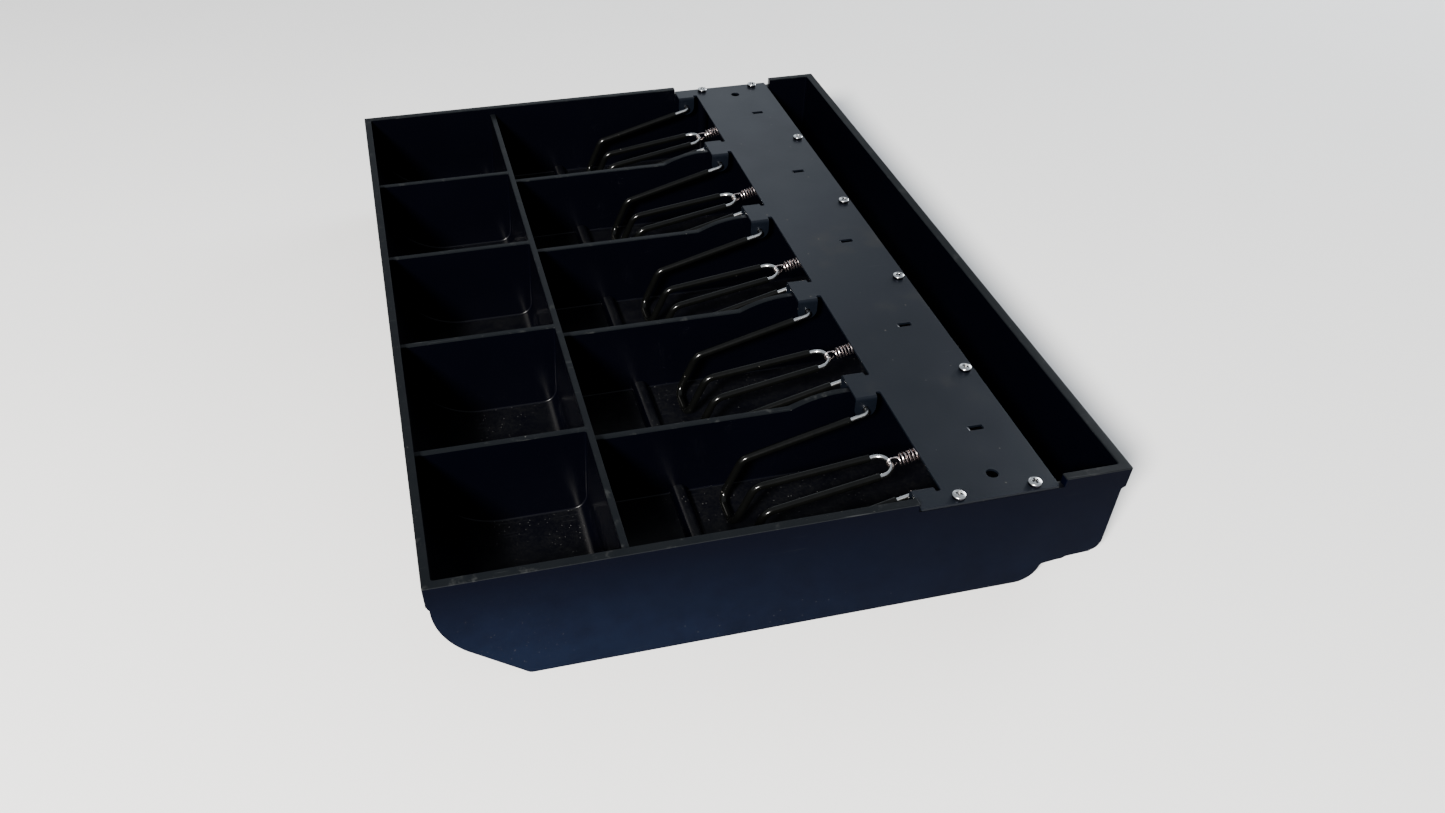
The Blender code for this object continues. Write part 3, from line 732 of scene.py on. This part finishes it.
def add_tube(bm, path, radius, sides, end_round, normal=Vector((1.0, 0.0, 0.0)), bore=0.0):
    """A round bar, or a hollow tube if it has a bore radius. Its ends are chamfered."""
    first_end = path[0] + (path[1] - path[0]).normalized() * end_round
    last_end = path[-1] + (path[-2] - path[-1]).normalized() * end_round
    path = [path[0], first_end, *path[1:-1], last_end, path[-1]]
    radii = [radius - end_round] + [radius] * (len(path) - 2) + [radius - end_round]
    frames = frames_along(path, normal)
    outer = [add_ring(bm, p, f, r, sides) for p, f, r in zip(path, frames, radii)]
    for first, second in zip(outer, outer[1:]):
        bridge(bm, first, second)
    if not bore:
        bm.faces.new(outer[0])
        bm.faces.new(outer[-1])
        return
    inner = [add_ring(bm, p, f, bore, sides) for p, f in zip(path, frames)]
    for first, second in zip(inner, inner[1:]):
        bridge(bm, second, first)
    bridge(bm, outer[0], inner[0])
    bridge(bm, inner[-1], outer[-1])


def clip_point(x, yz):
    return Vector((x, *yz))


def clip_corners(bay, side):
    """One half of a clip's wire, as (point, bend radius): from its pivot to its apex."""
    x = bay_centre(bay)
    return [
        (clip_point(x + side * PIVOT_TIP, PIVOT), 0.0),
        (clip_point(x + side * OUTER_ARM, PIVOT), PIVOT_BEND_RADIUS),
        (clip_point(x + side * OUTER_ARM, ARM_BEND), ARM_BEND_RADIUS),
        (clip_point(x + side * OUTER_ARM, FOOT), FOOT_RADIUS),
        (clip_point(x + side * INNER_ARM, FOOT), FOOT_RADIUS),
        (clip_point(x + side * INNER_ARM, ARM_BEND), ARM_BEND_RADIUS),
        (clip_point(x + side * APEX_HALF, APEX), APEX_RADIUS),
    ]


def build_clip_wire(bay, mat):
    corners = clip_corners(bay, -1) + clip_corners(bay, 1)[::-1]
    path = rounded_path(corners, BEND_STEPS)
    bm = bmesh.new()
    add_tube(bm, path, WIRE_RADIUS, 18, end_round=0.2, normal=Vector((0.0, 0.0, 1.0)))
    return finish_object(f"clip_{bay + 1}_wire", bm, mat, f"clip_{bay + 1}", weighted=False)


def build_sleeve(bay, side, word, mat):
    corners = clip_corners(bay, side)
    outer_arm = corners[2][0] - corners[1][0]
    start = corners[1][0] + outer_arm * ((SLEEVE_FROM_Y - PIVOT[0]) / outer_arm.y)
    inner_arm = corners[6][0] - corners[5][0]
    end = corners[5][0] + inner_arm * ((SLEEVE_TO_Y - ARM_BEND[0]) / inner_arm.y)
    path = rounded_path([(start, 0.0)] + corners[2:6] + [(end, 0.0)], BEND_STEPS)
    bm = bmesh.new()
    add_tube(bm, path, SLEEVE_OUTER, 20, end_round=0.12, bore=SLEEVE_INNER)
    name = f"clip_{bay + 1}_sleeve_{word}"
    return finish_object(name, bm, mat, f"clip_{bay + 1}", weighted=False)


def spring_path(bay):
    """The spring's wire, where it starts and its direction.

    It makes a front loop round the clip's apex, the coil, a straight shank and a back loop round
    the plate's tab.
    """
    x = bay_centre(bay)
    start, end = clip_point(x, APEX), clip_point(x, ANCHOR)
    along = (end - start).normalized()
    length = (end - start).length
    side = Vector((1.0, 0.0, 0.0))
    up = side.cross(along)

    def at(t, s, u):
        return start + along * t + side * s + up * u

    points = []
    loop_steps = 16
    hook_centre, hook_radius = 0.55, 2.05
    hook_start, hook_sweep = math.radians(-20.0), math.radians(290.0)
    hook_side, hook_slant = 0.5, 0.9
    for step in range(loop_steps + 1):
        angle = hook_start - hook_sweep * step / loop_steps
        t, u = hook_centre + hook_radius * math.cos(angle), hook_radius * math.sin(angle)
        points.append(at(t, hook_side - hook_slant * step / loop_steps, u))
    for step in range(COIL_TURNS * TURN_POINTS + 1):
        turns = step / TURN_POINTS
        angle = math.pi / 2 - 2 * math.pi * turns
        radius = COIL_MEAN * min(1.0, 0.75 + 0.5 * min(turns, COIL_TURNS - turns))
        s, u = radius * math.cos(angle), radius * math.sin(angle)
        points.append(at(COIL_FROM + turns * COIL_PITCH, s, u))
    shank_steps, shank_step, shank_from = 4, 0.9, 1.6
    for step in range(1, shank_steps + 1):
        u = shank_from * (1.0 - step / shank_steps)
        points.append(at(COIL_END + shank_step * step, 0.0, u))
    back_centre, back_radius = length - 0.5, 2.0
    back_start, back_sweep = math.pi + math.radians(25.0), math.radians(320.0)
    back_slant, shank_short = 0.3, 3.2
    points.append(at((COIL_END + back_centre) / 2, 0.0, 0.0))
    points.append(at(back_centre - shank_short, 0.0, 0.0))
    for step in range(loop_steps + 1):
        angle = back_start - back_sweep * step / loop_steps
        t, s = back_centre + back_radius * math.cos(angle), back_radius * math.sin(angle)
        points.append(at(t, s, back_slant * step / loop_steps))
    return points, start, along


def smooth_points(points):
    middle = [(a + b * 2 + c) / 4 for a, b, c in zip(points, points[1:], points[2:])]
    return [points[0]] + middle + [points[-1]]


def build_spring(bay, mat):
    path, start, along = spring_path(bay)
    bm = bmesh.new()
    add_tube(bm, smooth_points(path), SPRING_WIRE, 8, end_round=0.08, normal=along)
    obj = finish_object(f"clip_{bay + 1}_spring", bm, mat, body=None, weighted=False)
    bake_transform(obj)
    return obj


# ---------------------------------------------------------------- materials

COOL_GLOSS = (0.86, 0.91, 1.0, 1.0)


class Nodes:
    """Shorthand for a material's node tree. A value is a number, a colour or a node's output."""

    def __init__(self, name, **settings):
        self.mat = bpy.data.materials.new(name)
        self.mat.use_nodes = True
        self.tree = self.mat.node_tree
        self.shader = self.tree.nodes["Principled BSDF"]
        for key, value in settings.items():
            self.shader.inputs[key.replace("_", " ")].default_value = value

    def add(self, kind, **values):
        node = self.tree.nodes.new(kind)
        for key, value in values.items():
            if hasattr(node, key):
                setattr(node, key, value)
            else:
                node.inputs[key.replace("_", " ")].default_value = value
        return node

    def link(self, source, target):
        self.tree.links.new(source, target)

    def coordinates(self):
        return self.add("ShaderNodeTexCoord").outputs["Object"]

    def noise(self, scale, detail=4.0, roughness=0.55, vector=None):
        node = self.add("ShaderNodeTexNoise", Scale=scale, Detail=detail, Roughness=roughness)
        self.link(vector or self.coordinates(), node.inputs["Vector"])
        return node.outputs["Fac"]

    def ramp(self, factor, *stops):
        """The stops are (position, value)."""
        node = self.add("ShaderNodeValToRGB")
        elements = node.color_ramp.elements
        while len(elements) < len(stops):
            elements.new(0.5)
        for element, (position, value) in zip(elements, stops):
            element.position = position
            element.color = (value, value, value, 1.0)
        self.link(factor, node.inputs["Fac"])
        return node.outputs["Color"]

    def mix(self, factor, first, second):
        node = self.add("ShaderNodeMix", data_type="RGBA")
        self.plug(factor, node.inputs[0])
        self.plug(first, node.inputs[6])
        self.plug(second, node.inputs[7])
        return node.outputs[2]

    def maths(self, operation, first, second):
        node = self.add("ShaderNodeMath", operation=operation)
        self.plug(first, node.inputs[0])
        self.plug(second, node.inputs[1])
        return node.outputs[0]

    def product(self, first, *others):
        for other in others:
            first = self.maths("MULTIPLY", first, other)
        return first

    def scaled(self, value, by, least):
        """The value times by, plus least."""
        return self.maths("ADD", self.product(value, by), least)

    def layer(self, base, mask, share, colour):
        """The base, with a colour laid over it where the mask is, by the share given."""
        return self.mix(self.product(mask, share), base, colour)

    def plug(self, value, socket):
        if isinstance(value, bpy.types.NodeSocket):
            self.link(value, socket)
        elif isinstance(value, tuple):
            socket.default_value = (*value, 1.0)
        else:
            socket.default_value = value

    def bump(self, height, strength, distance, normal=None):
        node = self.add("ShaderNodeBump", Strength=strength, Distance=distance)
        self.link(height, node.inputs["Height"])
        if normal:
            self.link(normal, node.inputs["Normal"])
        return node.outputs["Normal"]

    def set(self, **inputs):
        for key, value in inputs.items():
            self.plug(value, self.shader.inputs[key.replace("_", " ")])
        return self.mat


def dust(n, scale, size, share):
    """Small specks, in the share of the cells given."""
    cells = n.add("ShaderNodeTexVoronoi", Scale=scale, Randomness=1.0)
    n.link(n.coordinates(), cells.inputs["Vector"])
    in_speck = n.maths("LESS_THAN", cells.outputs["Distance"], size)
    split = n.add("ShaderNodeSeparateColor")
    n.link(cells.outputs["Color"], split.inputs["Color"])
    chosen = n.maths("LESS_THAN", split.outputs[0], share)
    return n.product(in_speck, chosen)


def scratches(n, angle, scale, least):
    """Fine scratches that run one way, where their noise is over the least given."""
    mapping = n.add("ShaderNodeMapping")
    mapping.inputs["Rotation"].default_value = (0.0, 0.0, angle)
    mapping.inputs["Scale"].default_value = (1.0, 0.03, 1.0)
    n.link(n.coordinates(), mapping.inputs["Vector"])
    streaks = n.noise(scale, 2.0, 0.5, mapping.outputs["Vector"])
    lines = n.ramp(streaks, (least, 0.0), (least + 0.03, 1.0))
    return n.product(lines, n.ramp(n.noise(22.0, 2.0), (0.5, 0.0), (0.62, 1.0)))


def facing_up(n, low, high):
    """0 on walls, rising to 1 on the level surfaces that face up."""
    split = n.add("ShaderNodeSeparateXYZ")
    n.link(n.add("ShaderNodeTexCoord").outputs["Normal"], split.inputs["Vector"])
    return n.ramp(split.outputs["Z"], (low, 0.0), (high, 1.0))


def near(n, place, reach):
    """1 at a place in mm, falling to 0 at this many mm from it."""
    away = n.add("ShaderNodeVectorMath", operation="DISTANCE")
    n.link(n.coordinates(), away.inputs[0])
    away.inputs[1].default_value = [value * MM for value in place]
    distance = n.maths("DIVIDE", away.outputs["Value"], reach * MM)
    return n.ramp(distance, (0.3, 1.0), (1.0, 0.0))


def fine_grain(n, strength):
    """The moulding's fine grain, as a bumped normal."""
    return n.bump(n.noise(2600.0, 2.0, 0.5), strength, 0.0001)


def outside_material():
    """The satin outside walls: bluish black, mottled, with a few scuffs at the front corner.

    They fade in painted light and shade: darker at the rim and towards the back, paler low down.
    """
    n = Nodes("black moulding outside", IOR=1.5, Specular_IOR_Level=0.015)
    coarse = n.product(n.noise(14.0, 5.0), 0.4)
    mottle = n.maths("ADD", coarse, n.product(n.noise(85.0, 7.0, 0.65), 0.6))
    split = n.add("ShaderNodeSeparateXYZ")
    n.link(n.coordinates(), split.inputs["Vector"])
    height = n.maths("DIVIDE", split.outputs["Z"], HEIGHT * MM)
    depth = n.maths("ADD", n.maths("DIVIDE", split.outputs["Y"], DEPTH * MM), 0.5)
    painted_light_low = n.ramp(height, (0.15, 1.0), (0.95, 0.04))
    painted_light_front = n.ramp(depth, (0.1, 1.0), (0.75, 0.35))
    # Painted light and shade: paler low down and at the front, darker up at the rim and towards the
    # back.
    pale = n.product(painted_light_low, painted_light_front, n.ramp(mottle, (0.36, 0.65), (0.64, 1.25)))
    base = n.mix(pale, (0.0002, 0.0005, 0.0028), (0.0019, 0.0040, 0.0120))
    clumps = n.ramp(n.noise(9.0, 2.0), (0.45, 0.0), (0.6, 1.0))
    specks = n.product(dust(n, 420.0, 0.13, 0.05), clumps)
    base = n.layer(base, specks, 0.12, (0.10, 0.10, 0.10))
    base = n.layer(base, scratches(n, 0.5, 900.0, 0.70), 0.03, (0.10, 0.11, 0.125))
    knock = n.ramp(n.noise(620.0, 5.0, 0.7), (0.67, 0.0), (0.74, 1.0))
    corner = near(n, (RIM_X - 1.0, -112.0, 22.0), 30.0)
    base = n.layer(base, n.product(knock, corner), 0.35, (0.20, 0.18, 0.17))
    rough = n.scaled(n.noise(40.0, 6.0, 0.6), 0.2, 0.36)
    normal = n.bump(n.noise(32.0, 2.0, 0.5), 0.10, 0.0006, fine_grain(n, 0.12))
    return n.set(Base_Color=base, Roughness=rough, Normal=normal)


def top_material():
    """Rims and divider tops: the same plastic, chafed along its edges; their paler grey than the
    walls' is painted light.
    """
    n = Nodes("black moulding tops", IOR=1.5, Specular_IOR_Level=0.095, Specular_Tint=COOL_GLOSS)
    # The paler, greyer base is painted light on the up-facing tops; the chafes, nicks and scratches
    # below are wear.
    base = n.mix(n.noise(90.0, 4.0), (0.0020, 0.0026, 0.0036), (0.0048, 0.0056, 0.0064))
    chafe = n.ramp(n.noise(170.0, 5.0, 0.7), (0.58, 0.0), (0.70, 1.0))
    base = n.layer(base, chafe, 0.35, (0.040, 0.042, 0.041))
    nick = n.ramp(n.noise(520.0, 4.0, 0.65), (0.70, 0.0), (0.76, 1.0))
    base = n.layer(base, nick, 0.5, (0.16, 0.16, 0.15))
    base = n.layer(base, scratches(n, 0.2, 1300.0, 0.66), 0.2, (0.09, 0.095, 0.10))
    rough = n.scaled(n.noise(120.0, 5.0, 0.6), 0.2, 0.26)
    rough = n.maths("ADD", rough, n.product(chafe, 0.12))
    return n.set(Base_Color=base, Roughness=rough, Normal=fine_grain(n, 0.15))


def inside_material():
    """The glossy inside: near-black walls, with dust and fine scratches on the floors."""
    n = Nodes("black moulding inside", IOR=1.5)
    base = n.mix(n.noise(16.0, 5.0), (0.0002, 0.0003, 0.0011), (0.0006, 0.0007, 0.0021))
    floor = facing_up(n, 0.8, 0.97)
    film = n.product(floor, n.ramp(n.noise(70.0, 9.0, 0.72), (0.36, 0.20), (0.68, 0.85)))
    grain = n.ramp(n.noise(900.0, 3.0, 0.6), (0.42, 0.25), (0.66, 1.0))
    base = n.layer(base, film, grain, (0.0050, 0.0052, 0.0056))
    specks = n.product(dust(n, 1000.0, 0.19, 0.11), n.scaled(floor, 0.97, 0.03))
    clumps = n.ramp(n.noise(26.0, 3.0), (0.48, 0.15), (0.62, 1.0))
    base = n.layer(base, n.product(specks, clumps), 0.5, (0.15, 0.15, 0.15))
    rub = n.product(scratches(n, 1.2, 1400.0, 0.66), floor)
    base = n.layer(base, rub, 0.06, (0.11, 0.115, 0.125))
    rough = n.scaled(n.noise(45.0, 4.0, 0.5), 0.06, 0.23)
    rough = n.maths("ADD", rough, n.product(film, 0.16))
    normal = n.bump(n.noise(30.0, 2.0, 0.5), 0.035, 0.0006)
    gloss = n.scaled(floor, 0.10, 0.15)
    return n.set(Base_Color=base, Roughness=rough, Specular_IOR_Level=gloss, Normal=normal)


def plate_material():
    """Satin black powder coat: fine orange peel, faint stains, dust and a few rubs."""
    n = Nodes("black powder coat", IOR=1.5, Specular_Tint=COOL_GLOSS)
    base = n.mix(n.noise(18.0, 5.0, 0.6), (0.0016, 0.0024, 0.0044), (0.0034, 0.0045, 0.0070))
    base = n.layer(base, dust(n, 420.0, 0.15, 0.04), 0.3, (0.16, 0.15, 0.13))
    base = n.layer(base, scratches(n, 1.1, 1100.0, 0.71), 0.12, (0.09, 0.10, 0.11))
    stain = n.ramp(n.noise(30.0, 3.0), (0.58, 0.0), (0.74, 1.0))
    base = n.layer(base, stain, 0.25, (0.026, 0.023, 0.016))
    rough = n.scaled(n.noise(60.0, 4.0), 0.12, 0.27)
    normal = n.bump(n.noise(1100.0, 2.0, 0.5), 0.16, 0.0001)
    gloss = n.scaled(facing_up(n, 0.5, 0.95), 0.26, 0.06)
    return n.set(Base_Color=base, Roughness=rough, Specular_IOR_Level=gloss, Normal=normal)


def zinc_material(name, least_rough, painted_dark_sides):
    """Bright zinc. With painted dark sides, painted shade darkens it wherever it doesn't face up.
    """
    n = Nodes(name, Metallic=1.0)
    base = n.mix(n.noise(700.0, 4.0), (0.62, 0.63, 0.63), (0.80, 0.80, 0.78))
    if painted_dark_sides:
        # Painted shade on the sides that don't face up.
        base = n.mix(facing_up(n, 0.30, 0.65), (0.04, 0.04, 0.05), base)
    rough = n.scaled(n.noise(1500.0, 3.0), 0.2, least_rough)
    normal = n.bump(n.noise(2200.0, 3.0), 0.12, 0.00008)
    return n.set(Base_Color=base, Roughness=rough, Normal=normal)


def spring_material():
    n = Nodes("spring steel", Metallic=1.0)
    base = n.mix(n.noise(900.0, 3.0), (0.78, 0.66, 0.65), (0.95, 0.86, 0.85))
    return n.set(Base_Color=base, Roughness=n.scaled(n.noise(1800.0, 3.0), 0.15, 0.16))


def sleeve_material():
    """Soft black plastic, with a little dust."""
    n = Nodes("black sleeve", IOR=1.49, Specular_IOR_Level=0.24)
    base = n.mix(n.noise(260.0, 4.0), (0.0009, 0.0010, 0.0010), (0.0021, 0.0022, 0.0020))
    base = n.layer(base, dust(n, 420.0, 0.12, 0.05), 0.3, (0.2, 0.19, 0.18))
    rough = n.scaled(n.noise(500.0, 4.0), 0.10, 0.12)
    normal = n.bump(n.noise(900.0, 3.0), 0.12, 0.0001)
    return n.set(Base_Color=base, Roughness=rough, Normal=normal)


def floor_material():
    n = Nodes("pale floor", Roughness=0.9)
    return n.set(Base_Color=n.mix(n.noise(6.0, 3.0), (0.80, 0.80, 0.80), (0.84, 0.84, 0.84)))


# ---------------------------------------------------------------- stage, light and camera


def build_stage():
    """The floor lies a little under the feet, so that no faces coincide."""
    bm = bmesh.new()
    bmesh.ops.create_grid(bm, x_segments=2, y_segments=2, size=4.0)
    mesh = bpy.data.meshes.new("floor")
    bm.to_mesh(mesh)
    bm.free()
    mesh.materials.append(floor_material())
    floor = bpy.data.objects.new("floor", mesh)
    bpy.context.collection.objects.link(floor)
    floor.location.z = -0.0002


def add_area(name, location, size, power, colour):
    """A round lamp, in metres and watts, aimed at the origin."""
    light = bpy.data.lights.new(name, "AREA")
    light.shape = "DISK"
    light.size = size
    light.energy = power
    light.color = colour
    obj = bpy.data.objects.new(name, light)
    bpy.context.collection.objects.link(obj)
    obj.location = location
    obj.rotation_euler = (-Vector(location)).to_track_quat("-Z", "Y").to_euler()


def build_light():
    """A warm key behind the camera, a cool fill from the back, a weak sheen from the far end."""
    world = bpy.data.worlds.new("studio")
    world.use_nodes = True
    background = world.node_tree.nodes["Background"]
    background.inputs["Color"].default_value = (0.84, 0.91, 1.0, 1.0)
    background.inputs["Strength"].default_value = 0.45
    bpy.context.scene.world = world
    add_area("key", (1.25, -0.87, 1.05), size=0.3, power=130.0, colour=(1.0, 0.97, 0.92))
    add_area("sky", (-1.50, 0.35, 0.78), size=0.8, power=1.3, colour=(0.85, 0.92, 1.0))
    add_area("fill", (-0.75, 1.50, 0.50), size=1.1, power=30.0, colour=(0.90, 0.95, 1.0))


CAMERA_AT = (0.4850, -0.1239, 0.3669)
CAMERA_AZIMUTH, CAMERA_PITCH = math.radians(76.58), math.radians(38.77)
CAMERA_LENS, CAMERA_SHIFT = 30.46, 0.0467


def build_camera():
    data = bpy.data.cameras.new("camera")
    data.sensor_width = 36.0
    data.lens = CAMERA_LENS
    data.shift_x = CAMERA_SHIFT
    data.clip_start = 0.01
    camera = bpy.data.objects.new("camera", data)
    bpy.context.collection.objects.link(camera)
    camera.location = CAMERA_AT
    camera.rotation_euler = (math.pi / 2 - CAMERA_PITCH, 0.0, CAMERA_AZIMUTH)
    bpy.context.scene.camera = camera


# ---------------------------------------------------------------- all of it


def main():
    random.seed(7)
    inside, powder_coat = inside_material(), plate_material()
    zinc = zinc_material("bright zinc", 0.12, painted_dark_sides=False)
    spring_steel, black_sleeve = spring_material(), sleeve_material()
    screw_zinc = zinc_material("bright zinc screws", 0.14, painted_dark_sides=True)

    tray = build_tray(outside_material(), inside, top_material())
    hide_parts("tray")
    build_bosses(inside)

    plate = build_plate(powder_coat)
    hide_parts("retainer_plate")

    for name, x, y in screw_places():
        screw = build_screw(name, x, y, random.uniform(0.0, math.pi / 2), screw_zinc)
        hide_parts(name)

    for bay in range(BAYS):
        number = bay + 1
        wire = build_clip_wire(bay, zinc)
        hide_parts(f"clip_wire_{number}")
        for side, word in SIDES:
            sleeve = build_sleeve(bay, side, word, black_sleeve)
            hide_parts(f"clip_sleeve_{number}_{word}")
        spring = build_spring(bay, spring_steel)
        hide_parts(f"spring_{number}", f"spring_hook_{number}")

    build_stage()
    build_light()
    build_camera()


main()
